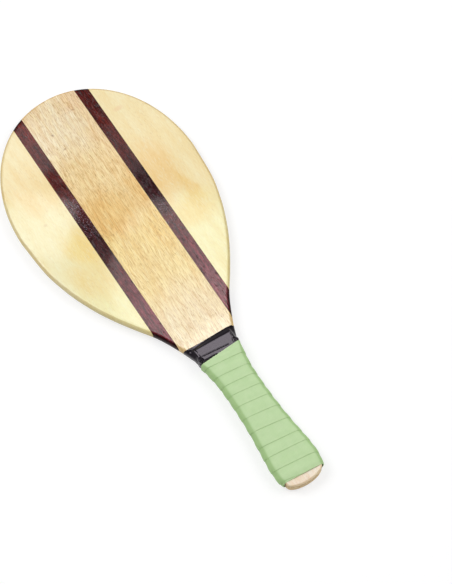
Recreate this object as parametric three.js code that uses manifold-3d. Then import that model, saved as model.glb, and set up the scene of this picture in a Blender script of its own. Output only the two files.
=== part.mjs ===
// Frescobol racket: an edge-glued wooden blade whose centre plank runs on as the handle's tongue,
// two glued cheeks, a black sleeve over the handle and a spiral overgrip wound from butt to throat.
// Millimetres. X runs across the racket, Y from butt to tip, Z from back to front.
// The racket lies on its grip: the origin is under the middle of its length, on that surface.

import * as THREE from 'three';
import { mergeVertices } from 'three/addons/utils/BufferGeometryUtils.js';
import Module from 'manifold-3d';

const wasm = await Module();
wasm.setup();

// Overall size
const racketLength = 480;
const headWidth = 200;
const widestStation = 357;
const tipRoundness = 2.05;

// Blade planks
const bladeThickness = 8;
const rimRadius = 3;
const plankWidth = 61.4;
const stripWidth = 13.1;

// Neck and wooden handle, widths without sleeve and grip
const throatStation = 173.6;
const throatWidth = 56.8;
const waistStation = 108;
const waistWidth = 30.4;
const flareStation = 26;
const flareWidth = 41.6;
const buttWidth = 37.6;
const buttDepth = 8.2;
const cheekThickness = 2.4;
const cheekEdgeRadius = 1.8;
const cheekEndWidth = 42.4;
const cheekEndStation = 169;
const cheekCornerRadius = 3;
const squareEdgeStation = 152;

// Sleeve
const seatGap = 0.3;
const sleeveThickness = 0.4;
const sleevePeep = 0.6;
const sleeveMargin = 1.2;
const sleeveSlopeRun = 4.4;

// Overgrip
const gripButtStation = 8;
const gripTopStation = 153;
const gripTopLean = 1.3;
const tapeThickness = 1.1;
const tapeThinEdge = 0.8;
const tapeLift = 0.35;
const tapeGap = 0.6;
const tapeTipWidth = 1.5;
const restFlat = 0.5;

// How the sides run between the named widths: share of the way along, share of the change of width
const flareToWaistShares = [[0.28, 0.37], [0.56, 0.76], [0.8, 0.95]];
const waistToThroatShares = [[0.26, 0.02], [0.442, 0.13], [0.686, 0.44], [0.838, 0.667]];
const throatToWidestShares = [
  [0.14, 0.172], [0.2655, 0.388], [0.36, 0.542], [0.48, 0.705], [0.6363, 0.8603], [0.8, 0.9595],
];

// Where each turn's lower edge crosses the middle of the front, as shares of the wound length
const seamShares = [0, 0.098, 0.199, 0.28, 0.395, 0.503, 0.598, 0.688, 0.769, 0.847, 0.935, 1.02];
const lapShare = 0.2;

// Fineness. Angles are of the outward normal above the side, in degrees
const tipSteps = 16;
const flankSteps = 26;
const handleSteps = 16;
const buttSteps = 8;
const cornerSteps = 3;
const rimSteps = 3;
const sleeveAngles = [90, 68, 52, 28, 0];
const sleeveHandleSteps = 12;
const sleeveCollarSteps = 4;
const sleeveSlopeSteps = 2;
const tapeAngles = [0, 30, 60, 90];
const tapeFaceShare = 0.5;
const weldDistance = 0.001;
const overrun = 5;

const halfBlade = bladeThickness / 2;
const halfPlank = plankWidth / 2;
const halfStrips = halfPlank + stripWidth;
const halfWood = halfBlade + cheekThickness;
const tapeSeat = seatGap + sleeveThickness + seatGap;
const restHeight = halfWood + tapeSeat + tapeThickness + tapeLift - restFlat;

// Places from one to another, both included
function evenly(from, to, steps) {
  return Array.from({ length: steps + 1 }, (_, i) => THREE.MathUtils.lerp(from, to, i / steps));
}

// Points [station, half-width] between two named ones
function between([stationA, halfA], [stationB, halfB], shares) {
  return shares.map(([along, change]) => [
    THREE.MathUtils.lerp(stationA, stationB, along),
    THREE.MathUtils.lerp(halfA, halfB, change),
  ]);
}

// A smooth curve through [place, value] points that never overshoots them
function smoothThrough(points) {
  const slopes = points.slice(1).map((p, i) => (p[1] - points[i][1]) / (p[0] - points[i][0]));
  const tangents = points.map((p, i) => {
    const before = slopes[Math.max(i - 1, 0)];
    const after = slopes[Math.min(i, slopes.length - 1)];
    return before * after > 0 ? (2 * before * after) / (before + after) : 0;
  });
  return (place) => {
    const last = points.length - 2;
    const found = points.findIndex((p, i) => i > last || place < points[i + 1][0]);
    const i = Math.min(found, last);
    const [x0, y0] = points[i];
    const [x1, y1] = points[i + 1];
    const run = x1 - x0;
    const t = (place - x0) / run;
    const easeOut = t * t * (3 - 2 * t);
    const lead = t * (1 - t) * (1 - t) * run * tangents[i];
    const trail = t * t * (t - 1) * run * tangents[i + 1];
    return y0 + (y1 - y0) * easeOut + lead + trail;
  };
}

// Half-width of the wood, apart from the round butt and tip
const butt = [0, buttWidth / 2];
const flare = [flareStation, flareWidth / 2];
const waist = [waistStation, waistWidth / 2];
const throat = [throatStation, throatWidth / 2];
const widest = [widestStation, headWidth / 2];
const halfWidthAt = smoothThrough([
  butt, flare, ...between(flare, waist, flareToWaistShares),
  waist, ...between(waist, throat, waistToThroatShares),
  throat, ...between(throat, widest, throatToWidestShares), widest,
]);

// Right-hand side of the rounded butt, from the middle of the butt outwards
function buttSide() {
  const half = halfWidthAt(buttDepth);
  return evenly(0, Math.PI / 2, buttSteps).slice(0, -1)
    .map((turn) => [half * Math.sin(turn), buttDepth * (1 - Math.cos(turn))]);
}

// Points of the right-hand side from one station to another
function sideBetween(from, to, steps, widthAt) {
  return evenly(from, to, steps).map((station) => [widthAt(station), station]);
}

// Right-hand side of the round tip, from just past the widest station to the middle
function tipSide() {
  const side = [];
  const power = 2 / tipRoundness;
  const reach = racketLength - widestStation;
  for (let i = 1; i < tipSteps; i += 1) {
    const turn = (i / tipSteps) * (Math.PI / 2);
    side.push([(headWidth / 2) * Math.cos(turn) ** power, widestStation + reach * Math.sin(turn) ** power]);
  }
  return [...side, [0, racketLength]];
}

// A closed, mirror-symmetric shape from its right-hand side
function mirroredShape(side) {
  const left = side.filter(([x]) => x > 0).map(([x, station]) => [-x, station]).reverse();
  return new THREE.Shape([...side, ...left].map(([x, station]) => new THREE.Vector2(x, station)));
}

// A plate of this shape, its middle plane at z = 0, with both rims rounded where a radius is given
function plate(shape, thickness, radius) {
  const geometry = new THREE.ExtrudeGeometry(shape, {
    depth: thickness - 2 * radius,
    bevelEnabled: radius > 0,
    bevelThickness: radius,
    bevelSize: radius,
    bevelOffset: -radius,
    bevelSegments: rimSteps,
    curveSegments: 1,
  });
  return geometry.translate(0, 0, radius - thickness / 2);
}

function toSolid(geometry) {
  const bare = geometry.index ? geometry.clone() : geometry;
  bare.deleteAttribute('normal');
  bare.deleteAttribute('uv');
  const merged = mergeVertices(bare, weldDistance);
  return new wasm.Manifold(new wasm.Mesh({
    numProp: 3,
    vertProperties: merged.attributes.position.array,
    triVerts: Uint32Array.from(merged.index.array),
  }));
}

function toGeometry(solid) {
  const mesh = solid.getMesh();
  const geometry = new THREE.BufferGeometry();
  geometry.setAttribute('position', new THREE.BufferAttribute(Float32Array.from(mesh.vertProperties), 3));
  geometry.setIndex(Array.from(mesh.triVerts));
  return geometry;
}

// A block between two places on X and two on Z, longer than the racket
function block(x0, x1, z0, z1) {
  const length = racketLength + 2 * overrun;
  const box = new THREE.BoxGeometry(x1 - x0, length, z1 - z0);
  return toSolid(box.translate((x0 + x1) / 2, racketLength / 2, (z0 + z1) / 2));
}

// The whole blade and tongue before it is parted along its glue lines
function wholeBoard() {
  const foot = squareEdgeStation - 2 * rimRadius;
  const bladeSide = [...sideBetween(foot, widestStation, flankSteps, halfWidthAt), ...tipSide()];
  const blade = toSolid(plate(mirroredShape(bladeSide), bladeThickness, rimRadius));
  const tongueSide = [...buttSide(), ...sideBetween(buttDepth, squareEdgeStation, handleSteps, halfWidthAt)];
  const tongue = toSolid(plate(mirroredShape(tongueSide), bladeThickness, 0));
  return blade.add(tongue);
}

const board = wholeBoard();
const halfBlock = headWidth / 2 + overrun;

function boardBetween(x0, x1) {
  return toGeometry(board.intersect(block(x0, x1, -bladeThickness, bladeThickness)));
}

function centrePlank() {
  return boardBetween(-halfPlank, halfPlank);
}

function darkStrip(side) {
  return side < 0 ? boardBetween(-halfStrips, -halfPlank) : boardBetween(halfPlank, halfStrips);
}

function paleWing(side) {
  return side < 0 ? boardBetween(-halfBlock, -halfStrips) : boardBetween(halfStrips, halfBlock);
}

// A cheek follows the handle's sides, then runs on straight to its rounded end over the throat
function handleCheek(side) {
  const halfEnd = cheekEndWidth / 2;
  const widthAt = (station) => Math.min(halfWidthAt(station), halfEnd);
  const straightEnd = cheekEndStation - cheekCornerRadius;
  const outline = [...buttSide(), ...sideBetween(buttDepth, straightEnd, handleSteps, widthAt)];
  evenly(0, Math.PI / 2, cornerSteps).slice(1).forEach((turn) => {
    const x = halfEnd - cheekCornerRadius * (1 - Math.cos(turn));
    outline.push([x, straightEnd + cheekCornerRadius * Math.sin(turn)]);
  });
  const rounded = toSolid(plate(mirroredShape(outline), 2 * halfWood, cheekEdgeRadius));
  const z0 = side < 0 ? -halfWood - overrun : halfBlade;
  const z1 = side < 0 ? -halfBlade : halfWood + overrun;
  return toGeometry(rounded.intersect(block(-halfBlock, halfBlock, z0, z1)));
}

// Joins rings of points, each as long as the first, into one closed skin. Rings that form a tube
// meet again; others are closed by caps, triangles of ring places seen from before the first ring
function skin(rings, caps) {
  const size = rings[0].length;
  const meets = caps.length === 0;
  const index = [];
  for (let r = 0; r < rings.length - (meets ? 0 : 1); r += 1) {
    const here = r * size;
    const next = ((r + 1) % rings.length) * size;
    for (let i = 0; i < size; i += 1) {
      const j = (i + 1) % size;
      index.push(here + i, next + j, here + j, here + i, next + i, next + j);
    }
  }
  const last = (rings.length - 1) * size;
  caps.forEach(([i, j, k]) => index.push(i, j, k, last + i, last + k, last + j));
  const positions = rings.flat().flatMap((p) => [p.x, p.y, p.z]);
  const geometry = new THREE.BufferGeometry();
  geometry.setAttribute('position', new THREE.BufferAttribute(Float32Array.from(positions), 3));
  geometry.setIndex(index);
  return geometry;
}

// How high the sleeve stands over the middle plane: on the cheeks, then down a slope to the blade
const slopeFoot = throatStation - sleeveMargin;
const slopeHead = slopeFoot - sleeveSlopeRun;

function coverHalfHeight(station) {
  const fall = THREE.MathUtils.clamp((station - slopeHead) / (slopeFoot - slopeHead), 0, 1);
  return halfWood - cheekThickness * fall;
}

// A point of the tight cover round the wood at a station, grown by an offset, where the outward
// normal has this angle; shares of -1 to 1 place it on the flats between the rounded corners
function coverPoint(station, { angle, xShare, zShare }, offset) {
  const half = halfWidthAt(station);
  const normal = new THREE.Vector2(Math.cos(angle), Math.sin(angle));
  const cheekHalf = Math.min(half, cheekEndWidth / 2);
  const height = coverHalfHeight(station);
  const corners = [
    { x: cheekHalf - cheekEdgeRadius, z: height - cheekEdgeRadius, radius: cheekEdgeRadius },
    { x: half - rimRadius, z: halfBlade - rimRadius, radius: rimRadius },
  ];
  const reach = (c) => c.x * Math.abs(normal.x) + c.z * Math.abs(normal.y) + c.radius;
  const proud = station > squareEdgeStation && reach(corners[1]) > reach(corners[0]);
  const centre = corners[proud ? 1 : 0];
  const grown = centre.radius + offset;
  return new THREE.Vector3(
    centre.x * xShare + grown * normal.x,
    station,
    centre.z * zShare + grown * normal.y,
  );
}

// Steps of a loop round the handle. Each has the angle of the outward normal, and shares that place
// it between the rounded corners
const corner = (degrees) => ({ angle: THREE.MathUtils.degToRad(degrees), xShare: 1, zShare: 1 });
const onFace = (share) => ({ ...corner(90), xShare: share });
const sideMiddle = { ...corner(0), zShare: 0 };

function mirrored({ angle, xShare, zShare }, xSign, zSign) {
  const turned = Math.atan2(zSign * Math.sin(angle), xSign * Math.cos(angle));
  return { angle: turned, xShare: xSign * xShare, zShare: zSign * zShare };
}

// A whole loop from its quarters, one from face to side and one from side to face. It starts on the
// front and goes by the left-hand side to the back and round again
function loopOf(faceToSide, sideToFace) {
  return [
    ...faceToSide.map((step) => mirrored(step, -1, 1)),
    ...sideToFace.map((step) => mirrored(step, -1, -1)),
    ...faceToSide.map((step) => mirrored(step, 1, -1)),
    ...sideToFace.map((step) => mirrored(step, 1, 1)),
  ];
}

// The sleeve is a thin tube: rings run up its outside, over the top edge and down its inside
function blackSleeve() {
  const quarter = sleeveAngles.map(corner);
  const around = loopOf(quarter, [...quarter].reverse());
  const stations = [
    ...evenly(gripButtStation - sleevePeep, squareEdgeStation, sleeveHandleSteps),
    ...evenly(squareEdgeStation, slopeHead, sleeveCollarSteps).slice(1),
    ...evenly(slopeHead, slopeFoot, sleeveSlopeSteps).slice(1),
    throatStation,
  ];
  const ring = (station, offset) => around.map((step) => coverPoint(station, step, offset));
  const outside = stations.map((station) => ring(station, seatGap + sleeveThickness));
  const inside = stations.map((station) => ring(station, seatGap)).reverse();
  return skin([...outside, ...inside], []);
}

// Where the tape's lower edge lies after so many turns; each whole turn ends on the front's middle
const woundLength = gripTopStation - gripButtStation;
const lastTurn = seamShares.length - 1;
const seamAt = smoothThrough(seamShares.map((share, turn) => [turn, gripButtStation + woundLength * share]));

// The first turn starts as a wedge along the grip's square lower edge, the last ends as one along
// its top edge
function tapeEdges(turn, step) {
  const top = gripTopStation + gripTopLean * step.xShare;
  const next = seamAt(Math.min(turn + 1, lastTurn)) - tapeGap;
  return { lower: seamAt(Math.max(turn, 0)), upper: Math.min(top, next) };
}

// The tape's section: a raised lower edge that laps towards the turn below, and a thin upper one.
// It is cut flat at the back, where the racket lies on it
function tapeSection(lower, upper, step) {
  const lapped = THREE.MathUtils.lerp(lower, upper, lapShare);
  const section = [
    [lower, tapeSeat + tapeLift],
    [lapped, tapeSeat],
    [upper, tapeSeat],
    [upper, tapeSeat + tapeThinEdge],
    [lapped, tapeSeat + tapeThickness],
    [lower, tapeSeat + tapeLift + tapeThickness],
  ];
  return section.map(([station, offset]) => {
    const point = coverPoint(station, step, offset);
    point.z = Math.max(point.z, -restHeight);
    return point;
  });
}

const sectionCaps = [[0, 1, 4], [0, 4, 5], [1, 2, 3], [1, 3, 4]];

function tapeSections() {
  const up = [...tapeAngles.map(corner), onFace(tapeFaceShare)];
  const loop = loopOf([onFace(0), ...[...up].reverse()], [sideMiddle, ...up]);
  const sections = [];
  for (let i = -loop.length; i < lastTurn * loop.length; i += 1) {
    const step = loop[(i + loop.length) % loop.length];
    const { lower, upper } = tapeEdges(i / loop.length, step);
    if (upper - lower >= tapeTipWidth) sections.push(tapeSection(lower, upper, step));
  }
  return { sections, stepsPerTurn: loop.length };
}

// The least distance between each section's points and those of the next turn nearby
function leastGap(sections, stepsPerTurn) {
  let least = Infinity;
  sections.forEach((section, i) => {
    const near = sections.slice(i + stepsPerTurn - 1, i + stepsPerTurn + 2).flat();
    section.forEach((p) => near.forEach((q) => { least = Math.min(least, p.distanceTo(q)); }));
  });
  return least;
}

function overgrip() {
  const { sections, stepsPerTurn } = tapeSections();
  const turns = (sections.length / stepsPerTurn).toFixed(1);
  console.log(`overgrip: ${turns} turns, least gap ${leastGap(sections, stepsPerTurn).toFixed(2)} mm`);
  return skin(sections, sectionCaps);
}

function finished(name, geometry, color, roughness) {
  const material = new THREE.MeshStandardMaterial({ color, roughness, metalness: 0 });
  const mesh = new THREE.Mesh(geometry, material);
  mesh.name = name;
  return mesh;
}

const blade = new THREE.Group();
blade.add(
  finished('centre_plank', centrePlank(), 0xe6cb9e, 0.3),
  finished('left_dark_strip', darkStrip(-1), 0x5a2a2a, 0.25),
  finished('right_dark_strip', darkStrip(1), 0x5a2a2a, 0.25),
  finished('left_pale_wing', paleWing(-1), 0xf5e4b4, 0.3),
  finished('right_pale_wing', paleWing(1), 0xf5e4b4, 0.3),
);

const handle = new THREE.Group();
handle.add(
  finished('front_handle_cheek', handleCheek(1), 0xecd6bb, 0.5),
  finished('back_handle_cheek', handleCheek(-1), 0xecd6bb, 0.5),
  finished('black_sleeve', blackSleeve(), 0x1d1b22, 0.2),
  finished('overgrip', overgrip(), 0xb3d69b, 0.8),
);

// Stations count from the butt and heights from the blade's middle plane
const racket = new THREE.Group();
racket.add(blade, handle);
racket.position.set(0, -racketLength / 2, restHeight);

export default racket;
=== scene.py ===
import math

import bmesh
import bpy
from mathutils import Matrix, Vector, noise


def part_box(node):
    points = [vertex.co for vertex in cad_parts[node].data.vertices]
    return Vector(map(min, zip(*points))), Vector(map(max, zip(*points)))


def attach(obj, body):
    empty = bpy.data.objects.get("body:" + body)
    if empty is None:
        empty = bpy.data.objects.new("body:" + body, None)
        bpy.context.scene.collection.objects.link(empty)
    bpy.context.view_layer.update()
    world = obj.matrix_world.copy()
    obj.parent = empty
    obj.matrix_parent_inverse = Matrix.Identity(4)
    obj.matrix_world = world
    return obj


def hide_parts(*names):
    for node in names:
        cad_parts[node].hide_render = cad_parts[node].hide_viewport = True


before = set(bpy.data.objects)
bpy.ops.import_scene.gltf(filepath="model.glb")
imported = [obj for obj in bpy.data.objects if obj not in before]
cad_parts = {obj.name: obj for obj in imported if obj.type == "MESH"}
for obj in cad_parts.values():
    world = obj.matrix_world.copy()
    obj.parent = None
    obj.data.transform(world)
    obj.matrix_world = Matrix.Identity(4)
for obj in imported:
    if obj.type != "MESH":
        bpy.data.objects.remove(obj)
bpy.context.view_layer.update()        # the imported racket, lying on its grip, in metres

scene = bpy.context.scene
scene.view_settings.view_transform = "Standard"
print("frame loaded:", len(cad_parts), "nodes")

# Sizes that the frame already holds. A station is the way along from the butt
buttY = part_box("centre_plank")[0].y
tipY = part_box("centre_plank")[1].y
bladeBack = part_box("centre_plank")[0].z
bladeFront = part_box("centre_plank")[1].z
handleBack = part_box("back_handle_cheek")[0].z
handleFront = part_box("front_handle_cheek")[1].z
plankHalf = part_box("centre_plank")[1].x
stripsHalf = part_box("right_dark_strip")[1].x
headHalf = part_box("right_pale_wing")[1].x
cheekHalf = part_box("front_handle_cheek")[1].x
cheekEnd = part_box("front_handle_cheek")[1].y - buttY
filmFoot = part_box("black_sleeve")[0].y - buttY
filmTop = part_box("black_sleeve")[1].y - buttY
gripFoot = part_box("overgrip")[0].y - buttY
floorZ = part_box("overgrip")[0].z
middleZ = (bladeFront + bladeBack) / 2
halfBlade = (bladeFront - bladeBack) / 2
halfHandle = (handleFront - handleBack) / 2

# Camera, from the photo: about 23 degrees off square, a long lens, the tip to the upper left
photoCamera = {
    "lookAt": (0.0395, -0.0361, 0.01235),
    "towards": (-0.2138, -0.3307, 0.9192),     # from that point to the camera
    "distance": 2.152,
    "lens": 136.7,
    "sensor": 36,
    "clipEnd": 50,
}


def placeCamera():
    data = bpy.data.cameras.new("photoCamera")
    data.lens = photoCamera["lens"]
    data.sensor_width = photoCamera["sensor"]
    data.clip_end = photoCamera["clipEnd"]
    camera = bpy.data.objects.new("photoCamera", data)
    scene.collection.objects.link(camera)
    away = Vector(photoCamera["towards"]).normalized()
    camera.location = Vector(photoCamera["lookAt"]) + away * photoCamera["distance"]
    camera.rotation_mode = "QUATERNION"
    camera.rotation_quaternion = (-away).to_track_quat("-Z", "Y")
    scene.camera = camera


placeCamera()

# Studio: two big softboxes off to the sides light the wood, and six small lamps stand where the varnish
# mirrors them. Low on the blade it shows a round one, a dim one that lifts its lower half and a hot flat
# one at the throat, on the left wing a small one turned to a diamond, and towards the tip two dim ones.
# Dark gaps between the reflections cross the middle of the blade
studio = {
    "key": {"place": (-1.1, 1.2, 2.4), "size": (1.5, 1.5), "radiance": 6.2},
    "fill": {"place": (1.6, -0.6, 2.2), "size": (1.4, 1.4), "radiance": 4.6},
    "roundLamp": {"place": (0.334, 0.540, 1.5), "size": (0.265, 0.350), "radiance": 2.7,
                  "shape": "ELLIPSE", "turned": -20},
    "roundLow": {"place": (0.326, 0.470, 1.4995), "size": (0.25, 0.215), "radiance": 0.6,
                 "shape": "ELLIPSE", "turned": -20},
    "roundCore": {"place": (0.336, 0.424, 1.499), "size": (0.22, 0.09), "radiance": 3.6,
                  "shape": "ELLIPSE"},
    "diamond": {"place": (0.182, 0.780, 1.5), "size": (0.116, 0.116), "radiance": 3.2, "turned": 45},
    "highLeft": {"place": (0.20, 0.910, 1.5), "size": (0.18, 0.100), "radiance": 1.5},
    "highRight": {"place": (0.39, 0.8265, 1.5), "size": (0.16, 0.103), "radiance": 0.7},
    "horizon": 0.45,
    "horizonUpTo": 0.45,
    "zenith": 0.12,
    "zenithFrom": 0.75,
}


def softbox(name, aim=None):        # without an aim it looks straight down
    spec = studio[name]
    data = bpy.data.lights.new(name, "AREA")
    data.shape = spec.get("shape", "RECTANGLE")
    data.size, data.size_y = spec["size"]
    data.energy = spec["radiance"] * math.pi * data.size * data.size_y
    if data.shape == "ELLIPSE":
        data.energy *= math.pi / 4
    lamp = bpy.data.objects.new(name, data)
    scene.collection.objects.link(lamp)
    lamp.location = spec["place"]
    if aim:
        lamp.rotation_mode = "QUATERNION"
        lamp.rotation_quaternion = (Vector(aim) - Vector(spec["place"])).to_track_quat("-Z", "Y")
    else:
        lamp.rotation_euler = (0, 0, math.radians(spec.get("turned", 0)))


def addNode(tree, kind, wires=None, **settings):
    made = tree.nodes.new("ShaderNode" + kind)
    for name, value in settings.items():
        setattr(made, name, value)
    for socket, value in (wires or {}).items():
        if isinstance(value, bpy.types.NodeSocket):
            tree.links.new(value, made.inputs[socket])
        else:
            made.inputs[socket].default_value = value
    return made


def tone(red, green, blue):        # a colour given from 0 to 255
    def linear(level):
        share = level / 255
        return share / 12.92 if share <= 0.04045 else ((share + 0.055) / 1.055) ** 2.4
    return (linear(red), linear(green), linear(blue), 1.0)


def grey(level):
    return (level, level, level, 1.0)


def paint(tree, factor, *stops):        # a colour ramp
    made = addNode(tree, "ValToRGB", {"Fac": factor})
    ends = made.color_ramp.elements
    ends[0].position, ends[0].color = stops[0]
    ends[1].position, ends[1].color = stops[-1]
    for place, colour in stops[1:-1]:
        made.color_ramp.elements.new(place).color = colour
    return made.outputs["Color"]


def shade(tree, level, span, darkest):        # the darkest tone up to the span's start, white from its end
    return paint(tree, level, (span[0], darkest), (span[1], grey(1.0)))


def blendIn(tree, factor, first, second, how="MIX"):
    made = addNode(tree, "MixRGB", {"Fac": factor, "Color1": first, "Color2": second}, blend_type=how)
    return made.outputs["Color"]


def sums(tree, how, first, second=0.0, third=0.5):
    return addNode(tree, "Math", {0: first, 1: second, 2: third}, operation=how).outputs["Value"]


def objectSpace(tree):
    return addNode(tree, "TexCoord").outputs["Object"]


# 0 where a surface lies flat and 1 where it tilts away, by how far its normal points up or down
def tiltOf(tree, flatLevel, tiltedLevel):
    normal = addNode(tree, "SeparateXYZ", {"Vector": addNode(tree, "NewGeometry").outputs["Normal"]})
    return addNode(tree, "MapRange", {
        "Value": sums(tree, "ABSOLUTE", normal.outputs["Z"]),
        "From Min": flatLevel, "From Max": tiltedLevel, "To Min": 0.0, "To Max": 1.0,
    }, interpolation_type="SMOOTHSTEP").outputs["Result"]


seedSteps = (1.0, 1.7, 0.6)        # how far a seed carries a noise along each axis
noiseMiddle = 0.5        # the level that a noise keeps to on average


def noiseOf(tree, space, size, seed, detail=2.0, roughness=0.5):
    scaled = addNode(tree, "Mapping", {
        "Vector": space,
        "Location": tuple(seed * step for step in seedSteps),
        "Scale": tuple(1 / s for s in size),
    })
    made = addNode(tree, "TexNoise", {
        "Vector": scaled.outputs["Vector"], "Scale": 1.0, "Detail": detail, "Roughness": roughness,
    })
    return made.outputs["Fac"]


def blankMaterial(name):
    material = bpy.data.materials.new(name)
    material.use_nodes = True
    material.node_tree.nodes.clear()
    return material, material.node_tree


def closeMaterial(tree, shader):
    addNode(tree, "OutputMaterial", {"Surface": shader.outputs["BSDF"]})


def lightTheStudio():
    middle = (0, 0, middleZ)
    softbox("key", middle)
    softbox("fill", middle)
    for name in ("roundLamp", "roundLow", "roundCore", "diamond", "highLeft", "highRight"):
        softbox(name)
    world = bpy.data.worlds.new("studioSky")
    world.use_nodes = True
    scene.world = world
    tree = world.node_tree
    tree.nodes.clear()
    direction = addNode(tree, "TexCoord").outputs["Generated"]
    up = addNode(tree, "SeparateXYZ", {"Vector": direction}).outputs["Z"]
    sky = paint(tree, up, (0.0, grey(studio["horizon"])), (studio["horizonUpTo"], grey(studio["horizon"])),
                (studio["zenithFrom"], grey(studio["zenith"])))
    background = addNode(tree, "Background", {"Color": sky, "Strength": 1.0})
    addNode(tree, "OutputWorld", {"Surface": background.outputs["Background"]})


lightTheStudio()

tableTop = {"size": 30.0, "below": 0.0001, "colour": grey(0.88), "seenColour": grey(0.34), "lift": 0.70,
            "mirroredLift": 0.22}


# White table. Where it is seen or mirrored it glows a little, so that its soft shadow stays light
def layTable():
    half = tableTop["size"] / 2
    mesh = bpy.data.meshes.new("tableTop")
    corners = [(-half, -half), (half, -half), (half, half), (-half, half)]
    mesh.from_pydata([(x, y, floorZ - tableTop["below"]) for x, y in corners], [], [(0, 1, 2, 3)])
    table = bpy.data.objects.new("tableTop", mesh)
    scene.collection.objects.link(table)
    material, tree = blankMaterial("whiteTable")
    path = addNode(tree, "LightPath")
    mirrored = sums(tree, "MAXIMUM", path.outputs["Is Glossy Ray"], path.outputs["Is Transmission Ray"])
    plain = addNode(tree, "BsdfDiffuse", {"Color": tableTop["colour"]})
    shaded = addNode(tree, "BsdfDiffuse", {"Color": tableTop["seenColour"]})
    glow = addNode(tree, "Emission", {"Color": grey(1.0), "Strength": tableTop["lift"]})
    faintGlow = addNode(tree, "Emission", {"Color": grey(1.0), "Strength": tableTop["mirroredLift"]})
    lifted = addNode(tree, "AddShader", {0: shaded.outputs[0], 1: glow.outputs[0]})
    inGloss = addNode(tree, "AddShader", {0: plain.outputs[0], 1: faintGlow.outputs[0]})
    shader = addNode(tree, "MixShader", {0: mirrored, 1: plain.outputs[0], 2: inGloss.outputs[0]})
    shader = addNode(tree, "MixShader", {0: path.outputs["Is Camera Ray"], 1: shader.outputs[0],
                                         2: lifted.outputs[0]})
    addNode(tree, "OutputMaterial", {"Surface": shader.outputs[0]})
    mesh.materials.append(material)


layTable()
print("studio ready")


# Varnished wood. Each wood below has its own dictionary: tones, figure, fibre, pores, clouds and varnish.
# This one holds what they share. A noise has its step on from the wood's seed, its detail and its
# roughness, a span has the levels where it starts and ends, and the rim soaks up its share of the varnish
anyWood = {
    "swirlDetail": 3.0, "cloudCore": 0.7,
    "grainNoise": (1, 3.0, 0.55), "grainSpan": (0.32, 0.66),
    "growthNoise": (2, 1.0, 0.4), "ringSpan": (0.0, 0.45),
    "fibreNoise": (3, 3.0, 0.65), "fibreSpan": (0.33, 0.58),
    "poreNoise": (4, 1.0, 0.5), "poreRise": 0.12,
    "patchNoise": (5, 1.0, 0.5), "patchPull": 0.25,
    "speckNoise": (9, 0.0, 0.5), "speckRise": 0.07,
    "waveNoise": (7, 3.0, 0.5),
    "flatLevel": 0.997, "tiltedLevel": 0.93, "rimSoaks": 0.6, "rough": 0.55,
}


def bentGrain(tree, space, look):        # the grain wanders sideways and leans a little
    slow = noiseOf(tree, space, look["wanderSize"], look["seed"])
    shift = addNode(tree, "MapRange", {"Value": slow, "To Min": -look["wander"], "To Max": look["wander"]})
    parts = addNode(tree, "SeparateXYZ", {"Vector": space})
    across = sums(tree, "ADD", parts.outputs["X"], shift.outputs["Result"])
    across = sums(tree, "ADD", across, sums(tree, "MULTIPLY", parts.outputs["Y"], look["lean"]))
    return addNode(tree, "CombineXYZ", {
        "X": across, "Y": parts.outputs["Y"], "Z": parts.outputs["Z"],
    }).outputs["Vector"]


def swirled(tree, space, look):        # stirs the wood a little, so that no cloud is a clean oval
    scaled = addNode(tree, "Mapping", {
        "Vector": space, "Location": (look["seed"], 0, 0), "Scale": (1 / look["swirlSize"],) * 3,
    })
    swirl = addNode(tree, "TexNoise", {
        "Vector": scaled.outputs["Vector"], "Scale": 1.0, "Detail": anyWood["swirlDetail"],
    })
    middle = addNode(tree, "VectorMath", {
        0: swirl.outputs["Color"], 1: (noiseMiddle,) * 3,
    }, operation="SUBTRACT")
    return addNode(tree, "VectorMath", {
        0: middle.outputs[0], 1: (look["swirl"],) * 3, 2: space,
    }, operation="MULTIPLY_ADD").outputs[0]


# Soft clouds in a ground tone, each with its place, its reach, its lean in degrees, its tone and its depth
def clouded(tree, space, colour, clouds):
    for place, reach, lean, cloudTone, depth in clouds:
        local = addNode(tree, "Mapping", {
            "Vector": space, "Location": (*place, 0), "Rotation": (0, 0, math.radians(lean)),
            "Scale": (*reach, 1.0),
        }, vector_type="TEXTURE")
        ball = addNode(tree, "TexGradient", {"Vector": local.outputs["Vector"]}, gradient_type="SPHERICAL")
        soft = addNode(tree, "MapRange", {
            "Value": ball.outputs["Fac"], "From Min": 0.0, "From Max": anyWood["cloudCore"],
            "To Max": depth,
        }, interpolation_type="SMOOTHSTEP")
        colour = blendIn(tree, soft.outputs["Result"], colour, cloudTone)
    return colour


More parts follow.
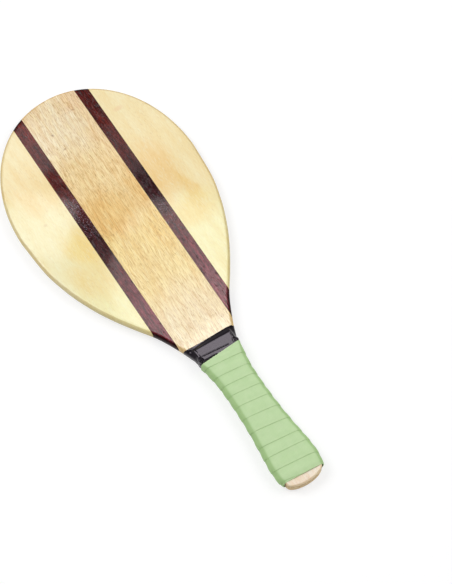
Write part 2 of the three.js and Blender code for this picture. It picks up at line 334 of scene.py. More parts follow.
def wood(look):
    material, tree = blankMaterial(look["name"])
    space = objectSpace(tree)
    lines = bentGrain(tree, space, look)

    def noiseFor(where, size, kind):
        step, detail, roughness = anyWood[kind]
        return noiseOf(tree, where, look[size], look["seed"] + step, detail, roughness)

    broad = noiseFor(lines, "grain", "grainNoise")
    colour = clouded(tree, swirled(tree, space, look), look["ground"], look["clouds"])
    grainShade = shade(tree, broad, anyWood["grainSpan"], look["grainTone"])
    colour = blendIn(tree, 1.0, colour, grainShade, "MULTIPLY")

    # Growth rings, cut flat by the saw, as the contours of a slow hill
    hill = noiseFor(lines, "growth", "growthNoise")
    rings = sums(tree, "SINE", sums(tree, "MULTIPLY", hill, math.tau * look["ringCount"]))
    ringShade = shade(tree, sums(tree, "MULTIPLY_ADD", rings, 0.5), anyWood["ringSpan"], look["ringTone"])
    colour = blendIn(tree, look["ringDepth"], colour, ringShade, "MULTIPLY")

    fibre = noiseFor(lines, "fibre", "fibreNoise")
    fibreShade = shade(tree, fibre, anyWood["fibreSpan"], look["fibreTone"])
    colour = blendIn(tree, look["fibreDepth"], colour, fibreShade, "MULTIPLY")

    # Open pores: short dashes, thicker in some patches than in others
    pores = noiseFor(lines, "pores", "poreNoise")
    patches = noiseFor(space, "porePatches", "patchNoise")
    pull = sums(tree, "MULTIPLY", sums(tree, "SUBTRACT", patches, noiseMiddle), anyWood["patchPull"])
    start = look["poreFrom"]
    dash = shade(tree, sums(tree, "ADD", pores, pull), (start, start + anyWood["poreRise"]), grey(0.0))
    dashDepth = sums(tree, "MULTIPLY", dash, look["poreDepth"])
    colour = blendIn(tree, dashDepth, colour, look["poreTone"], "MULTIPLY")
    colour = clouded(tree, space, colour, look["flecks"])

    # Painted glints: fine bright specks, where a pore's lip catches the light
    specks = noiseFor(lines, "speckSize", "speckNoise")
    start = look["speckFrom"]
    bright = shade(tree, specks, (start, start + anyWood["speckRise"]), grey(0.0))
    depth = look["speckDepth"]
    if look["glintPatches"]:
        depth = clouded(tree, space, grey(depth), look["glintPatches"])
    colour = blendIn(tree, sums(tree, "MULTIPLY", bright, depth), colour, look["glintTone"])

    # Painted shade: the rounded edge is darker, from where it leaves the flat face
    edge = tiltOf(tree, anyWood["flatLevel"], anyWood["tiltedLevel"])
    colour = blendIn(tree, edge, colour, look["rimShadeTone"], "MULTIPLY")

    height = sums(tree, "SUBTRACT", sums(tree, "MULTIPLY", fibre, look["fibreRise"]), dash)
    relief = addNode(tree, "Bump", {"Height": height, "Strength": 1.0, "Distance": look["relief"]})
    waves = noiseFor(space, "waveSize", "waveNoise")
    gloss = addNode(tree, "Bump", {"Height": waves, "Strength": 1.0, "Distance": look["waves"]})
    sunk = addNode(tree, "Bump", {
        "Height": sums(tree, "SUBTRACT", 1.0, dash), "Strength": 1.0, "Distance": look["sink"],
        "Normal": gloss.outputs["Normal"],
    })
    kept = sums(tree, "MULTIPLY_ADD", edge, -anyWood["rimSoaks"], 1.0)
    coat = sums(tree, "MULTIPLY", look["varnish"], kept)
    shader = addNode(tree, "BsdfPrincipled", {
        "Base Color": colour, "Roughness": anyWood["rough"], "Specular IOR Level": 0.0,
        "Coat Weight": coat, "Coat Roughness": look["varnishBlur"],
        "Normal": relief.outputs["Normal"], "Coat Normal": sunk.outputs["Normal"],
    })
    closeMaterial(tree, shader)
    return material


# Half-width of the wood along the racket: named places, then shares of the way and of the change
# between them
outline = {
    "butt": (0.0, 0.0188),
    "flare": (0.026, 0.0208),
    "waist": (0.108, 0.0152),
    "throat": (0.1736, 0.0284),
    "widest": (0.357, headHalf),
    "flareToWaist": [(0.28, 0.37), (0.56, 0.76), (0.8, 0.95)],
    "waistToThroat": [(0.26, 0.02), (0.442, 0.13), (0.686, 0.44), (0.838, 0.667)],
    "throatToWidest": [(0.14, 0.172), (0.2655, 0.388), (0.36, 0.542), (0.48, 0.705), (0.6363, 0.8603),
                       (0.8, 0.9595)],
    "tipPower": 2.05,
    "buttDepth": 0.0082,
    "sideStep": 0.002,
    "tipSteps": 64,
    "buttSteps": 24,
    "onAxis": 1e-9,        # a point nearer to the middle than this has no twin on the left
}


def sharesBetween(start, end, shares):
    return [(start[0] + (end[0] - start[0]) * along, start[1] + (end[1] - start[1]) * change)
            for along, change in shares]


def smoothThrough(points):        # a curve through the points that never overshoots them
    slopes = [(b[1] - a[1]) / (b[0] - a[0]) for a, b in zip(points, points[1:])]
    tangents = []
    for i in range(len(points)):
        before = slopes[max(i - 1, 0)]
        after = slopes[min(i, len(slopes) - 1)]
        tangents.append(2 * before * after / (before + after) if before * after > 0 else 0.0)

    def at(place):
        i = 0
        while i < len(points) - 2 and place >= points[i + 1][0]:
            i += 1
        (x0, y0), (x1, y1) = points[i], points[i + 1]
        run = x1 - x0
        t = (place - x0) / run
        bend = t * (1 - t) ** 2 * run * tangents[i] + t * t * (t - 1) * run * tangents[i + 1]
        return y0 + (y1 - y0) * t * t * (3 - 2 * t) + bend
    return at


halfWidthAt = smoothThrough(
    [outline["butt"], outline["flare"]]
    + sharesBetween(outline["flare"], outline["waist"], outline["flareToWaist"])
    + [outline["waist"]]
    + sharesBetween(outline["waist"], outline["throat"], outline["waistToThroat"])
    + [outline["throat"]]
    + sharesBetween(outline["throat"], outline["widest"], outline["throatToWidest"])
    + [outline["widest"]]
)


def smoothstep(low, high, value):
    t = min(max((value - low) / (high - low), 0.0), 1.0)
    return t * t * (3 - 2 * t)


def buttSide():
    half = halfWidthAt(outline["buttDepth"])
    steps = outline["buttSteps"]
    turns = [math.pi / 2 * i / steps for i in range(steps)]
    return [(half * math.sin(t), outline["buttDepth"] * (1 - math.cos(t))) for t in turns]


def straightSide(start, end, widthAt):
    steps = round((end - start) / outline["sideStep"])
    stations = [start + (end - start) * i / steps for i in range(steps + 1)]
    return [(widthAt(station), station) for station in stations]


def tipSide():
    power = 2 / outline["tipPower"]
    start = outline["widest"][0]
    reach = tipY - buttY - start
    side = []
    for i in range(1, outline["tipSteps"]):
        turn = math.pi / 2 * i / outline["tipSteps"]
        side.append((headHalf * math.cos(turn) ** power, start + reach * math.sin(turn) ** power))
    return side + [(0.0, tipY - buttY)]


# The closed outline from its right-hand side, each point with the way out of the wood there
def closedLoop(side):
    left = [(-x, station) for x, station in reversed(side) if x > outline["onAxis"]]
    points = side + left
    loop = []
    for i, (x, station) in enumerate(points):
        before, after = points[i - 1], points[(i + 1) % len(points)]
        out = Vector((after[1] - before[1], before[0] - after[0])).normalized()
        loop.append((Vector((x, station)), out))
    return loop


def skinRings(shape, rings):        # faces from each closed ring of points to the next
    for low, high in zip(rings, rings[1:]):
        for i in range(len(low)):
            j = (i + 1) % len(low)
            shape.faces.new((low[i], low[j], high[j], high[i]))


# A slab whose edge follows the profile, pairs of inset and height, all the way round the loop
def slab(loop, profileAt):
    shape = bmesh.new()
    rings = []
    for point, out in loop:
        for k, (inset, height) in enumerate(profileAt(point)):
            if k == len(rings):
                rings.append([])
            x, station = point - out * inset
            rings[k].append(shape.verts.new((x, station + buttY, height)))
    skinRings(shape, rings)
    shape.faces.new(list(reversed(rings[0])))
    shape.faces.new(rings[-1])
    return shape


# Up to the collar the board has square edges. There its rims grow from a least share of their radius to
# the whole of it
board = {
    "rim": 0.003, "backRim": 0.002, "rimSteps": 8, "hold": 0.0004,
    "squareBelow": 0.150, "rimGrown": 0.157, "leastShare": 0.02,
    "glueLine": 0.00012, "glueSteps": 2, "glueProfile": 0.5, "cutWithin": 1e-7, "onCutWithin": 1e-6,
    "crease": 20,
}


def roundedEdge(backRadius, frontRadius, back, front):
    def corner(radius, face, up):
        arc = [(radius + board["hold"], face)]
        for i in range(board["rimSteps"] + 1):
            turn = math.pi / 2 * i / board["rimSteps"]
            arc.append((radius * (1 - math.sin(turn)), face + up * radius * (1 - math.cos(turn))))
        return arc
    return corner(backRadius, back, 1) + corner(frontRadius, front, -1)[::-1]


def cutAway(shape, place, facing):        # removes what lies beyond the plane and closes the cut
    everything = shape.verts[:] + shape.edges[:] + shape.faces[:]
    cut = bmesh.ops.bisect_plane(shape, geom=everything, dist=board["cutWithin"], plane_co=place,
                                 plane_no=facing, clear_outer=True)
    edges = [e for e in cut["geom_cut"] if isinstance(e, bmesh.types.BMEdge)]
    bmesh.ops.contextual_create(shape, geom=edges)


# The glue lines are eased by hand: the sharp edges along a cut lose a hair's breadth
def easeCut(shape, x):
    edges = [e for e in shape.edges if all(abs(v.co.x - x) < board["onCutWithin"] for v in e.verts)]
    if edges:
        bmesh.ops.bevel(shape, geom=edges, offset=board["glueLine"], segments=board["glueSteps"],
                        profile=board["glueProfile"], affect="EDGES", clamp_overlap=True)


# Edges that turn by more than the creased angle, in degrees, stay sharp
def makePiece(name, shape, material, replaced, creased):
    bmesh.ops.recalc_face_normals(shape, faces=shape.faces)
    mesh = bpy.data.meshes.new(name)
    shape.to_mesh(mesh)
    shape.free()
    for face in mesh.polygons:
        face.use_smooth = True
    mesh.set_sharp_from_angle(angle=math.radians(creased))
    mesh.materials.append(material)
    piece = bpy.data.objects.new(name, mesh)
    scene.collection.objects.link(piece)
    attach(piece, "root")
    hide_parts(replaced)


def boardEdge(point):
    grown = max(smoothstep(board["squareBelow"], board["rimGrown"], point[1]), board["leastShare"])
    return roundedEdge(board["backRim"] * grown, board["rim"] * grown, bladeBack, bladeFront)


def boardBetween(name, left, right, material, replaced):
    side = buttSide() + straightSide(outline["buttDepth"], outline["widest"][0], halfWidthAt) + tipSide()
    shape = slab(closedLoop(side), boardEdge)
    if left > -headHalf:
        cutAway(shape, (left, 0, 0), (-1, 0, 0))
        easeCut(shape, left)
    if right < headHalf:
        cutAway(shape, (right, 0, 0), (1, 0, 0))
        easeCut(shape, right)
    makePiece(name, shape, material, replaced, board["crease"])


plankWood = {
    "name": "plankWood", "seed": 11.0, "wander": 0.0025, "wanderSize": (0.015, 0.04, 0.03), "lean": -0.02,
    "ground": tone(255, 243, 214),
    # clouds partly of the wood's own tone, partly painted reflection: the golden and pale patches stand in
    # for warm reflections in the varnish
    "clouds": [
        ((0.0, 0.030), (0.14, 0.170), 0, tone(252, 232, 168), 1.0),
        ((0.0, 0.122), (0.10, 0.072), 0, tone(254, 231, 180), 0.9),
        ((0.0, 0.056), (0.055, 0.036), 0, tone(252, 229, 156), 0.55),
        ((0.024, 0.055), (0.018, 0.040), 0, tone(252, 222, 146), 0.6),
        ((-0.019, 0.094), (0.044, 0.038), 10, tone(250, 215, 148), 0.95),
        ((0.027, 0.106), (0.022, 0.030), -20, tone(249, 213, 149), 0.9),
        ((-0.004, -0.052), (0.070, 0.066), 0, tone(254, 242, 211), 0.85),
        ((0.028, 0.185), (0.012, 0.050), 0, tone(250, 222, 174), 0.6),
        ((-0.026, 0.222), (0.015, 0.022), 0, tone(248, 228, 192), 0.9),
        ((0.0235, 0.227), (0.019, 0.022), 0, tone(247, 219, 181), 0.85),
    ],
    "flecks": [
        ((-0.0138, 0.2011), (0.0014, 0.0024), 20, tone(160, 134, 118), 0.6),
        ((-0.0115, 0.1814), (0.0030, 0.0013), 10, tone(178, 142, 110), 0.55),
        ((0.0184, 0.2152), (0.0030, 0.0010), -15, tone(178, 130, 100), 0.5),
        ((-0.0001, 0.1196), (0.0024, 0.0011), 30, tone(186, 142, 100), 0.4),
    ],
    "swirlSize": 0.035, "swirl": 0.03,
    "grain": (0.0028, 0.045, 0.02), "grainTone": tone(250, 242, 229),
    "growth": (0.022, 0.10, 0.02), "ringCount": 6.0, "ringTone": tone(236, 214, 184), "ringDepth": 0.3,
    "fibre": (0.0006, 0.0076, 0.003), "fibreDepth": 0.85, "fibreTone": tone(214, 190, 156),
    "pores": (0.0005, 0.0050, 0.003), "porePatches": (0.016, 0.03, 0.02), "poreFrom": 0.63,
    "poreDepth": 0.8, "poreTone": tone(190, 160, 124),
    "speckSize": (0.0010, 0.0130, 0.003), "speckFrom": 0.56, "speckDepth": 0.28,
    "glintTone": tone(255, 240, 184), "glintPatches": [],
    "rimShadeTone": tone(233, 221, 199), "relief": 0.00003, "fibreRise": 0.6,
    "waveSize": (0.02, 0.03, 0.03), "waves": 0.00003, "sink": 0.000012,
    "varnish": 1.0, "varnishBlur": 0.06,
}
darkWood = {
    "name": "darkWood", "seed": 23.0, "wander": 0.0008, "wanderSize": (0.02, 0.06, 0.03), "lean": 0.03,
    "ground": tone(120, 42, 34),
    # clouds partly of the wood's own tone, partly painted reflection and shade: mauve where the lamps'
    # reflections lie low on the blade, darker across the gaps between them
    "clouds": [
        ((0.0, -0.020), (0.09, 0.100), 0, tone(156, 60, 76), 1.0),
        ((-0.0375, 0.082), (0.04, 0.045), 0, tone(84, 36, 38), 1.0),
        ((0.0375, 0.104), (0.04, 0.044), 0, tone(80, 36, 40), 1.0),
        ((0.0375, -0.036), (0.026, 0.026), 0, tone(184, 98, 108), 0.9),
        ((-0.0385, 0.220), (0.030, 0.024), 0, tone(140, 42, 34), 0.9),
    ],
    "flecks": [],
    "swirlSize": 0.03, "swirl": 0.02,
    "grain": (0.0016, 0.018, 0.01), "grainTone": tone(150, 122, 126),
    "growth": (0.012, 0.10, 0.02), "ringCount": 3.0, "ringTone": tone(200, 170, 170), "ringDepth": 0.5,
    "fibre": (0.0006, 0.0055, 0.004), "fibreDepth": 1.0, "fibreTone": tone(116, 80, 86),
    "pores": (0.0006, 0.0045, 0.004), "porePatches": (0.01, 0.02, 0.02), "poreFrom": 0.60,
    "poreDepth": 0.8, "poreTone": tone(90, 60, 66),
    "speckSize": (0.0007, 0.0016, 0.004), "speckFrom": 0.62, "speckDepth": 0.06,
    "glintTone": tone(190, 162, 182),
    # painted glints, thicker where the lamps' reflections end on the strips
    "glintPatches": [
        ((-0.0375, 0.110), (0.03, 0.036), 0, grey(0.34), 1.0),
        ((0.0375, 0.068), (0.03, 0.030), 0, grey(0.20), 1.0),
    ],
    "rimShadeTone": tone(120, 96, 90), "relief": 0.00003, "fibreRise": 0.8,
    "waveSize": (0.010, 0.016, 0.02), "waves": 0.00002, "sink": 0.00005,
    "varnish": 1.0, "varnishBlur": 0.045,
}
paleWood = {
    "name": "paleWood", "seed": 37.0, "wander": 0.002, "wanderSize": (0.03, 0.09, 0.03), "lean": 0.02,
    "ground": tone(254, 240, 196),
    # clouds partly of the wood's own tone, partly painted reflection: the golden and pale patches stand in
    # for reflections in the varnish
    "clouds": [
        ((0.0, 0.000), (0.18, 0.14), 0, tone(253, 249, 199), 1.0),
        ((-0.085, 0.110), (0.06, 0.10), 0, tone(252, 247, 206), 0.9),
        ((-0.055, 0.152), (0.036, 0.030), 30, tone(253, 232, 180), 0.8),
        ((-0.066, 0.170), (0.034, 0.026), 20, tone(252, 230, 178), 0.6),
        ((-0.048, 0.078), (0.022, 0.036), 12, tone(253, 232, 164), 0.95),
        ((-0.062, 0.045), (0.024, 0.040), 30, tone(251, 234, 176), 0.9),
        ((0.085, 0.115), (0.060, 0.080), 0, tone(253, 237, 190), 0.9),
        ((0.052, 0.112), (0.034, 0.046), -10, tone(250, 220, 162), 0.95),
        ((0.072, 0.080), (0.011, 0.028), 16, tone(248, 218, 152), 0.9),
        ((0.066, 0.056), (0.030, 0.026), 0, tone(251, 228, 158), 0.65),
    ],
    "flecks": [
        ((-0.0710, 0.1200), (0.0030, 0.0022), 0, tone(232, 208, 158), 0.45),
        ((0.0575, 0.1918), (0.0080, 0.0040), 0, tone(246, 214, 168), 0.5),
    ],
    "swirlSize": 0.045, "swirl": 0.03,
    "grain": (0.008, 0.05, 0.02), "grainTone": tone(252, 246, 234),
    "growth": (0.03, 0.3, 0.02), "ringCount": 3.0, "ringTone": tone(250, 240, 220), "ringDepth": 0.25,
    "fibre": (0.0010, 0.006, 0.004), "fibreDepth": 0.16, "fibreTone": tone(224, 200, 156),
    "pores": (0.0007, 0.0035, 0.004), "porePatches": (0.03, 0.05, 0.02), "poreFrom": 0.64,
    "poreDepth": 0.2, "poreTone": tone(206, 174, 120),
    "speckSize": (0.0008, 0.0060, 0.004), "speckFrom": 0.62, "speckDepth": 0.20,
    "glintTone": tone(255, 250, 226), "glintPatches": [],
    "rimShadeTone": tone(225, 216, 201), "relief": 0.00001, "fibreRise": 0.5,
    "waveSize": (0.02, 0.03, 0.03), "waves": 0.00003, "sink": 0.000008,
    "varnish": 1.0, "varnishBlur": 0.06,
}


def makeBoard():
    plank, dark, pale = wood(plankWood), wood(darkWood), wood(paleWood)
    boardBetween("plankAndTongue", -plankHalf, plankHalf, plank, "centre_plank")
    boardBetween("darkStripLeft", -stripsHalf, -plankHalf, dark, "left_dark_strip")
    boardBetween("darkStripRight", plankHalf, stripsHalf, dark, "right_dark_strip")
    boardBetween("paleWingLeft", -headHalf, -stripsHalf, pale, "left_pale_wing")
    boardBetween("paleWingRight", stripsHalf, headHalf, pale, "right_pale_wing")


makeBoard()
print("board parted along its glue lines")

cheek = {
    "edge": 0.0018, "edgeSteps": 7, "corner": 0.003, "cornerSteps": 8, "hold": 0.0004, "glueLine": 0.0001,
    "crease": 20,
}
handleWood = {
    "name": "handleWood", "seed": 51.0, "wander": 0.0006, "wanderSize": (0.01, 0.03, 0.02), "lean": 0.03,
    "ground": tone(255, 244, 226), "clouds": [], "flecks": [], "swirlSize": 0.02, "swirl": 0.01,
    "grain": (0.003, 0.02, 0.01), "grainTone": tone(252, 244, 234),
    "growth": (0.008, 0.08, 0.01), "ringCount": 3.0, "ringTone": tone(250, 236, 224), "ringDepth": 0.35,
    "fibre": (0.0007, 0.006, 0.002), "fibreDepth": 0.25, "fibreTone": tone(228, 202, 180),
    "pores": (0.0005, 0.0035, 0.002), "porePatches": (0.01, 0.02, 0.02), "poreFrom": 0.62,
    "poreDepth": 0.3, "poreTone": tone(214, 182, 158),
    "speckSize": (0.0007, 0.0050, 0.002), "speckFrom": 0.62, "speckDepth": 0.20,
    "glintTone": tone(255, 248, 236), "glintPatches": [],
    "rimShadeTone": tone(245, 239, 222), "relief": 0.00002, "fibreRise": 0.5,
    "waveSize": (0.02, 0.03, 0.02), "waves": 0.00002, "sink": 0.00001,
    "varnish": 0.35, "varnishBlur": 0.3,
}


def cheekSide():
    top = cheekEnd - cheek["corner"]
    side = buttSide() + straightSide(outline["buttDepth"], top, lambda s: min(halfWidthAt(s), cheekHalf))
    for i in range(1, cheek["cornerSteps"] + 1):
        turn = math.pi / 2 * i / cheek["cornerSteps"]
        inset = cheek["corner"] * (1 - math.cos(turn))
        side.append((cheekHalf - inset, top + cheek["corner"] * math.sin(turn)))
    return side


def makeCheek(name, glued, outer, material, replaced):
    up = 1 if outer > glued else -1
    profile = [(cheek["glueLine"] + cheek["hold"], glued), (cheek["glueLine"], glued),
               (0.0, glued + up * cheek["glueLine"])]
    for i in range(cheek["edgeSteps"] + 1):
        turn = math.pi / 2 * (1 - i / cheek["edgeSteps"])
        drop = cheek["edge"] * (1 - math.cos(turn))
        profile.append((cheek["edge"] * (1 - math.sin(turn)), outer - up * drop))
    profile.append((cheek["edge"] + cheek["hold"], outer))
    shape = slab(closedLoop(cheekSide()), lambda point: profile)
    makePiece(name, shape, material, replaced, cheek["crease"])


def makeHandle():
    material = wood(handleWood)
    makeCheek("frontCheek", bladeFront, handleFront, material, "front_handle_cheek")
    makeCheek("backCheek", bladeBack, handleBack, material, "back_handle_cheek")


makeHandle()
print("cheeks glued on")

# The tight wrap round the handle. q runs over a quarter of the section: 0 to 1 the flat face, 1 to 2 the
# cheek's corner, 2 to 3 the slope to the rim, 3 to 4 the rim, 4 to 5 down to the middle of the side
wrap = {
    "squareBelow": 0.152,
    "slopeHead": 0.1670, "headLean": 0.042,        # the step down from the cheeks to the blade
    "slopeFoot": 0.1729, "footLean": 0.118, "highestFoot": 0.1732,
    "thinLayer": 0.00005, "thickLayer": 0.0011,        # from hard against the wood to softly padded
    "softTo": 0.138, "hardFrom": 0.150,
    "crownLean": 0.20, "crownWidth": 0.0060, "rounder": 0.0030,
    "sideLean": 0.42, "sidePad": 0.0016, "sideShare": 0.4,
    "tapeFootRise": 0.0003, "tapeFootLean": 0.0725, "hug": 0.0007, "hugRun": 0.005,
}


def coverHalfHeight(station, x):
    head = wrap["slopeHead"] - wrap["headLean"] * x
    foot = min(wrap["slopeFoot"] + wrap["footLean"] * x, wrap["highestFoot"])
    return halfHandle - (halfHandle - halfBlade) * smoothstep(head, foot, station)


def tapeFoot(x):        # the tape's lower end is cut a little askew
    return gripFoot + wrap["tapeFootRise"] - wrap["tapeFootLean"] * x


def footHug(station, x):        # how much the layers thin out towards the tape's foot
    return wrap["hug"] * (1 - smoothstep(0.0, wrap["hugRun"], station - tapeFoot(x)))


# A point of the quarter section, and the way out there
def coverPoint(station, q, xSign, grow, rim):
    half = halfWidthAt(station)
    # Soft layers crown the flat sides
    soft = smoothstep(wrap["thinLayer"], wrap["thickLayer"], grow)
    soft *= 1 - smoothstep(wrap["softTo"], wrap["hardFrom"], station)
    edge = cheek["edge"] + soft * wrap["rounder"]
    cheekX = min(half, cheekHalf) - edge + soft * wrap["sidePad"]
    radius = edge + grow
    crownLean = soft * wrap["crownLean"]
    drop = math.tan(crownLean) * wrap["crownWidth"] / 2
    faceEnd = cheekX + radius * math.sin(crownLean)
    height = coverHalfHeight(station, xSign * faceEnd * min(q, 1.0))
    cheekZ = height + grow - drop - radius * math.cos(crownLean)
    rimX, rimZ = half - rim, halfBlade - rim
    proud = station > wrap["squareBelow"] and half > cheekHalf
    lean = soft * wrap["sideLean"]
    if proud:
        span = math.hypot(rimX - cheekX, rimZ - cheekZ)
        ratio = (cheek["edge"] - rim) / span
        lean = math.atan2(rimZ - cheekZ, rimX - cheekX) + math.acos(max(-1.0, min(1.0, ratio)))
        lean = max(lean, 0.0)
    cheekOut = Vector((math.cos(lean), math.sin(lean)))
    cheekPoint = Vector((cheekX, cheekZ)) + cheekOut * radius
    sidePoint = Vector((cheekPoint.x, cheekZ * wrap["sideShare"]))
    rimPoint = Vector((rimX, rimZ)) + cheekOut * (rim + grow) if proud else sidePoint
    if q <= 1:
        x = faceEnd * q
        bent = max(0.0, x - faceEnd + wrap["crownWidth"]) / wrap["crownWidth"]
        point, out = Vector((x, height + grow - drop * bent ** 2)), Vector((0, 1))
    elif q <= 2:
        turn = math.pi / 2 - crownLean + (lean - math.pi / 2 + crownLean) * (q - 1)
        out = Vector((math.cos(turn), math.sin(turn)))
        point = Vector((cheekX, cheekZ)) + out * radius
    elif q <= 3:
        point, out = cheekPoint.lerp(rimPoint, q - 2), cheekOut
    elif q <= 4 and proud:
        turn = lean * (4 - q)
        out = Vector((math.cos(turn), math.sin(turn)))
        point = Vector((rimX, rimZ)) + out * (rim + grow)
    else:
        start = Vector((half + grow, rimZ)) if proud else sidePoint
        first = 4 if proud else 3
        point, out = Vector((start.x, start.y * (5 - q) / (5 - first))), Vector((1, 0))
    if q > 2 and not proud:
        point.x += cheekPoint.y * math.tan(lean) / 2 * (1 - (point.y / cheekPoint.y) ** 2)
    return point, out


# The same for the whole section: around runs from 0 to 20, from the front's middle by the left side
def roundTheHandle(station, around, grow):
    quarter, q = divmod(around % 20, 5)
    xSign, zSign = ((-1, 1), (-1, -1), (1, -1), (1, 1))[int(quarter)]
    if quarter in (1, 3):
        q = 5 - q
    point, out = coverPoint(station, q, xSign, grow, board["rim"] if zSign > 0 else board["backRim"])
    return (Vector((xSign * point.x, station + buttY, middleZ + zSign * point.y)),
            Vector((xSign * out.x, 0, zSign * out.y)))


# All four quarters of a list of stops, given as pairs of q and share of the turn for one quarter
def allRound(quarter):
    down = [(5 - q + 5, 0.5 - share) for q, share in reversed(quarter)]
    half = quarter[:-1] + down[:-1]
    return half + [(10 + q, 0.5 + share) for q, share in half]


film = {
    "under": 0.00005, "over": 0.00025, "overGrip": 0.0011, "thinFrom": 0.149, "thinTo": 0.152,
    "foot": 0.0003, "hidden": 0.0012, "hiddenAtLeft": 0.0004, "hiddenAtRight": 0.0009, "sidesFrom": 0.0190,
    "faceSteps": 40, "cornerSteps": 8, "slopeSteps": 8, "rimSteps": 6, "sideSteps": 3,
    "gripStep": 0.004, "collarStep": 0.00045, "collarStart": 0.146, "insideEvery": 6,
    # the torn top edge: places across, and how far the edge lies below the film's highest point
    "topEdge": [(-0.0290, 0.0), (-0.0050, 0.0009), (0.0205, 0.0009), (0.0222, 0.0015), (0.0238, 0.0011),
                (0.0272, 0.0030)],
    "topFrom": 0.1685,
    # folds in the shrunk film: where each starts and ends, across and as stations, how far its two flanks
    # reach, the left or lower one first, and its height
    "folds": [
        ((-0.0170, 0.1592), (0.0120, 0.1563), (0.0005, 0.0005), 0.00011),
        ((-0.0225, 0.1536), (-0.0030, 0.1530), (0.0014, 0.0014), 0.00060),
        ((-0.0193, 0.1672), (-0.0187, 0.1556), (0.0026, 0.0007), 0.00060),
        ((0.0205, 0.1700), (0.0188, 0.1560), (0.0010, 0.0024), 0.00080),
        ((0.0255, 0.1690), (0.0236, 0.1590), (0.0012, 0.0012), 0.00040),
    ],
    "foldTaper": 3,        # how many widths of its flank a fold's taper reaches in from its end
    "roll": 0.0012, "rollLevel": 0.75, "rollAt": 0.1555, "rollHalf": 0.006,
    "wrinkleSize": (0.0035, 0.005, 0.0035), "wrinkle": 0.00022, "ripple": 0.00002,
    "smoothWithin": 0.0165, "bunchedFrom": 0.0205, "fadeFrom": 0.1505, "fadeTo": 0.1530, "crease": 38,
}
blackFilm = {
    "name": "blackFilm", "colour": tone(20, 16, 22), "rough": 0.10, "shine": 0.38,
    "shineTint": (1.0, 0.90, 1.0, 1.0),
}
topDropAt = smoothThrough(film["topEdge"])


def filmStops():        # where the film's rings have their points, counted as q
    quarter = []
    for start, steps in ((0, film["faceSteps"]), (1, film["cornerSteps"]), (2, film["slopeSteps"]),
                         (3, film["rimSteps"]), (4, film["sideSteps"])):
        quarter += [(start + i / steps, 0) for i in range(steps)]
    return [q for q, share in allRound(quarter + [(5, 0)])]


# Under the grip the film lies over a layer of underwrap, which thins out before the collar
def filmThickness(station):
    thinned = smoothstep(film["thinFrom"], film["thinTo"], station)
    return film["overGrip"] + (film["over"] - film["overGrip"]) * thinned


def foldHeight(x, station, start, end, widths, height):
    run = Vector(end) - Vector(start)
    length = run.length
    off = Vector((x, station)) - Vector(start)
    along = off.dot(run) / length
    aside = (off.y * run.x - off.x * run.y) / length
    width = widths[0] if aside < 0 else widths[1]
    taper = film["foldTaper"] * width
    tapered = smoothstep(-width, taper, along) * (1 - smoothstep(length - taper, length + width, along))
    return height * tapered * (1 - smoothstep(0.0, width, abs(aside)))


# The film is tight on the flat faces, and bunched and wrinkled round the sides
def filmRelief(place, out):
    station = place.y - buttY
    x = place.x if out.z > 0 else -place.x
    bunched = smoothstep(film["smoothWithin"], film["bunchedFrom"], abs(place.x))
    size = film["wrinkleSize"]
    rough = noise.noise(Vector((place.x / size[0], place.y / size[1], place.z / size[2])))
    height = rough * (film["ripple"] + film["wrinkle"] * bunched)
    rolled = 1 - smoothstep(0.0, film["rollHalf"], abs(station - film["rollAt"]))
    height += film["roll"] * rolled * bunched * (film["rollLevel"] + rough)
    for start, end, widths, rise in film["folds"]:
        height += foldHeight(x, station, start, end, widths, rise) * abs(out.z)
    return max(height, 0.0) * smoothstep(film["fadeFrom"], film["fadeTo"], station)


# The foot stops inside the tape, at the corners only just; the top is torn
def filmStation(station, x):
    atSide = "hiddenAtLeft" if x < 0 else "hiddenAtRight"
    bottom = tapeFoot(x) + film[atSide if abs(x) >= film["sidesFrom"] else "hidden"]
    first, last = film["topEdge"][0][0], film["topEdge"][-1][0]
    drop = topDropAt(min(max(x, first), last))
    return max(station, bottom) - drop * smoothstep(film["topFrom"], filmTop, station)


def makeFilm():
    stations = []
    station = film["collarStart"]
    while station > filmFoot + film["foot"]:
        stations.append(station)
        station -= film["gripStep"]
    stations = [filmFoot] + stations[::-1]
    collar = filmTop - film["collarStart"]
    count = round(collar / film["collarStep"])
    stations += [film["collarStart"] + collar * i / count for i in range(1, count + 1)]
    around = filmStops()
    shape = bmesh.new()

    def ring(station, grow, folded):
        made = []
        for a in around:
            place, out = roundTheHandle(station, a, grow)
            lowered = filmStation(station, place.x)
            thin = footHug(lowered, place.x) if folded else 0.0
            if lowered != station or thin > 0:
                place, out = roundTheHandle(lowered, a, grow - thin)
            made.append(shape.verts.new(place + out * filmRelief(place, out) if folded else place))
        return made
    rings = [ring(s, filmThickness(s), True) for s in stations]
    inside = stations[:-1:film["insideEvery"]] + [stations[-1]]
    rings += [ring(s, film["under"], False) for s in reversed(inside)]
    skinRings(shape, rings + rings[:1])
    material, tree = blankMaterial(blackFilm["name"])
    shader = addNode(tree, "BsdfPrincipled", {
        "Base Color": blackFilm["colour"], "Roughness": blackFilm["rough"],
        "Specular IOR Level": blackFilm["shine"], "Specular Tint": blackFilm["shineTint"],
    })
    closeMaterial(tree, shader)
    makePiece("blackSleeve", shape, material, "black_sleeve", film["crease"])


makeFilm()
print("film shrunk over the handle")

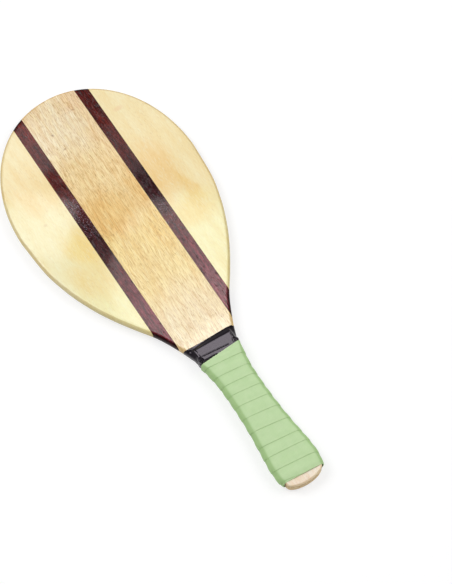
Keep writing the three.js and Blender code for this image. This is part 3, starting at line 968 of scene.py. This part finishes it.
# Mint tape, wound from the butt up. The lower edge of each turn lies over the turn below
tape = {
    "seat": 0.0012, "thickness": 0.00042, "clear": 0.00003, "edgeRound": 0.0003,
    "overlap": 0.005, "slope": 0.0045, "hidden": 0.0045,
    "woundTo": 0.153, "topLean": 0.0013, "tip": 0.0012,
    "liftFrom": -0.12, "liftTo": -0.02,        # the turns where it climbs onto its own start
    # a quarter of the way round: q, the share of the turn there, and the steps to the next one
    "quarter": [(0, 0.0, 18), (1, 0.13, 8), (2, 0.20, 4), (4, 0.22, 2), (5, 0.25, 0)],
    # where each turn's lower edge lies, as shares of the way from the foot to the top
    "seams": [0, 0.098, 0.199, 0.28, 0.395, 0.503, 0.598, 0.688, 0.769, 0.847, 0.935, 1.02],
    # where the band has its points, as shares of its width
    "across": [0, 0.008, 0.02, 0.04, 0.08, 0.14, 0.2, 0.26, 0.32, 0.38, 0.44, 0.5, 0.58, 0.66, 0.76, 0.86,
               0.94, 0.985, 1.0],
    "crease": 38,
}
# Here a noise has a seed of its own, its detail and its roughness
mintTape = {
    "name": "mintTape", "face": tone(199, 225, 174), "corner": tone(173, 206, 143), "rough": 0.75,
    "flatLevel": 0.9985, "tiltedLevel": 0.82,
    "mottle": (0.006, 0.009, 0.006), "mottleNoise": (5.0, 3.0, 0.6), "mottleSpan": (0.35, 0.65),
    "mottleTone": tone(248, 252, 246),
    "hatchEvery": 0.0012, "hatchLean": (0.8, 0.6, 0.5), "hatchShade": 0.955, "hatchSpan": (0.2, 0.7),
    "hatchRise": 0.00002, "breaks": (0.004, 0.004, 0.004), "breakNoise": (9.0, 1.0, 0.5),
}


def tapeStops():        # one quarter of the way round: pairs of q and share of the turn
    stops = []
    for (q, share, steps), (nextQ, nextShare, _) in zip(tape["quarter"], tape["quarter"][1:]):
        for i in range(steps):
            stops.append((q + (nextQ - q) * i / steps, share + (nextShare - share) * i / steps))
    return stops + [tape["quarter"][-1][:2]]


# Rubbery tape, painted a deeper green over the corners as painted shade, with a fine embossed hatch
def mintRubber():
    material, tree = blankMaterial(mintTape["name"])
    space = objectSpace(tree)
    # painted shade: a deeper green where the tape turns over the corners
    cornerShade = tiltOf(tree, mintTape["flatLevel"], mintTape["tiltedLevel"])
    colour = blendIn(tree, cornerShade, mintTape["face"], mintTape["corner"])
    mottle = noiseOf(tree, space, mintTape["mottle"], *mintTape["mottleNoise"])
    mottled = shade(tree, mottle, mintTape["mottleSpan"], mintTape["mottleTone"])
    colour = blendIn(tree, 1.0, colour, mottled, "MULTIPLY")
    direction = tuple(math.tau * lean / mintTape["hatchEvery"] for lean in mintTape["hatchLean"])
    phase = addNode(tree, "VectorMath", {0: space, 1: direction}, operation="DOT_PRODUCT").outputs["Value"]
    broken = noiseOf(tree, space, mintTape["breaks"], *mintTape["breakNoise"])
    lines = sums(tree, "MULTIPLY", sums(tree, "SINE", phase), broken)
    pressed = sums(tree, "MULTIPLY_ADD", lines, 1.0, 0.5)
    # painted shade along the embossed hatch's grooves, besides its bump
    hatch = shade(tree, pressed, mintTape["hatchSpan"], grey(mintTape["hatchShade"]))
    colour = blendIn(tree, 1.0, colour, hatch, "MULTIPLY")
    relief = addNode(tree, "Bump", {"Height": lines, "Strength": 1.0, "Distance": mintTape["hatchRise"]})
    shader = addNode(tree, "BsdfPrincipled", {
        "Base Color": colour, "Roughness": mintTape["rough"], "Normal": relief.outputs["Normal"],
    })
    closeMaterial(tree, shader)
    return material


def makeTape():
    wound = tape["woundTo"] - gripFoot
    seams = [(turn, gripFoot + wound * share) for turn, share in enumerate(tape["seams"])]
    seamAt = smoothThrough(seams)
    lastTurn = len(seams) - 1
    shape = bmesh.new()
    rings = []
    around = allRound(tapeStops())
    steps = len(around)
    across = tape["across"]
    profile = [(part, True) for part in across] + [(part, False) for part in reversed(across)]
    for i in range(-steps, lastTurn * steps + 1):
        q, share = around[i % steps]
        turn = i // steps + share
        middle = roundTheHandle(gripFoot, q, 0.0)[0]
        lean = max(-1.0, min(1.0, middle.x / cheekHalf))
        lower = seamAt(max(turn, 0.0)) + (tapeFoot(middle.x) - gripFoot) * (1 - smoothstep(0.0, 1.0, turn))
        top = tape["woundTo"] + tape["topLean"] * lean
        upper = min(top, seamAt(min(turn + 1, lastTurn)) + tape["hidden"])
        if upper - lower < tape["tip"]:
            continue
        lifted = smoothstep(tape["liftFrom"], tape["liftTo"], turn) * (tape["thickness"] + tape["clear"])
        ring = []
        for part, outer in profile:
            station = lower + (upper - lower) * part
            off = station - lower
            over = 1 - smoothstep(tape["overlap"], tape["overlap"] + tape["slope"], off)
            grow = tape["seat"] + lifted * over - footHug(station, middle.x)
            if outer:
                grow += tape["thickness"]
                nearest = min(off, upper - station)
                if nearest < tape["edgeRound"]:
                    short = tape["edgeRound"] - nearest
                    grow -= tape["edgeRound"] - math.sqrt(max(tape["edgeRound"] ** 2 - short ** 2, 0.0))
            place = roundTheHandle(station, q, grow)[0]
            place.z = max(place.z, floorZ)
            ring.append(shape.verts.new(place))
        rings.append(ring)
    skinRings(shape, rings)
    half = len(across)
    for ring in (rings[0], rings[-1]):
        for i in range(half - 1):
            shape.faces.new((ring[i], ring[i + 1], ring[-2 - i], ring[-1 - i]))
    makePiece("gripTape", shape, mintRubber(), "overgrip", tape["crease"])


makeTape()
print("grip tape wound")

print("done")
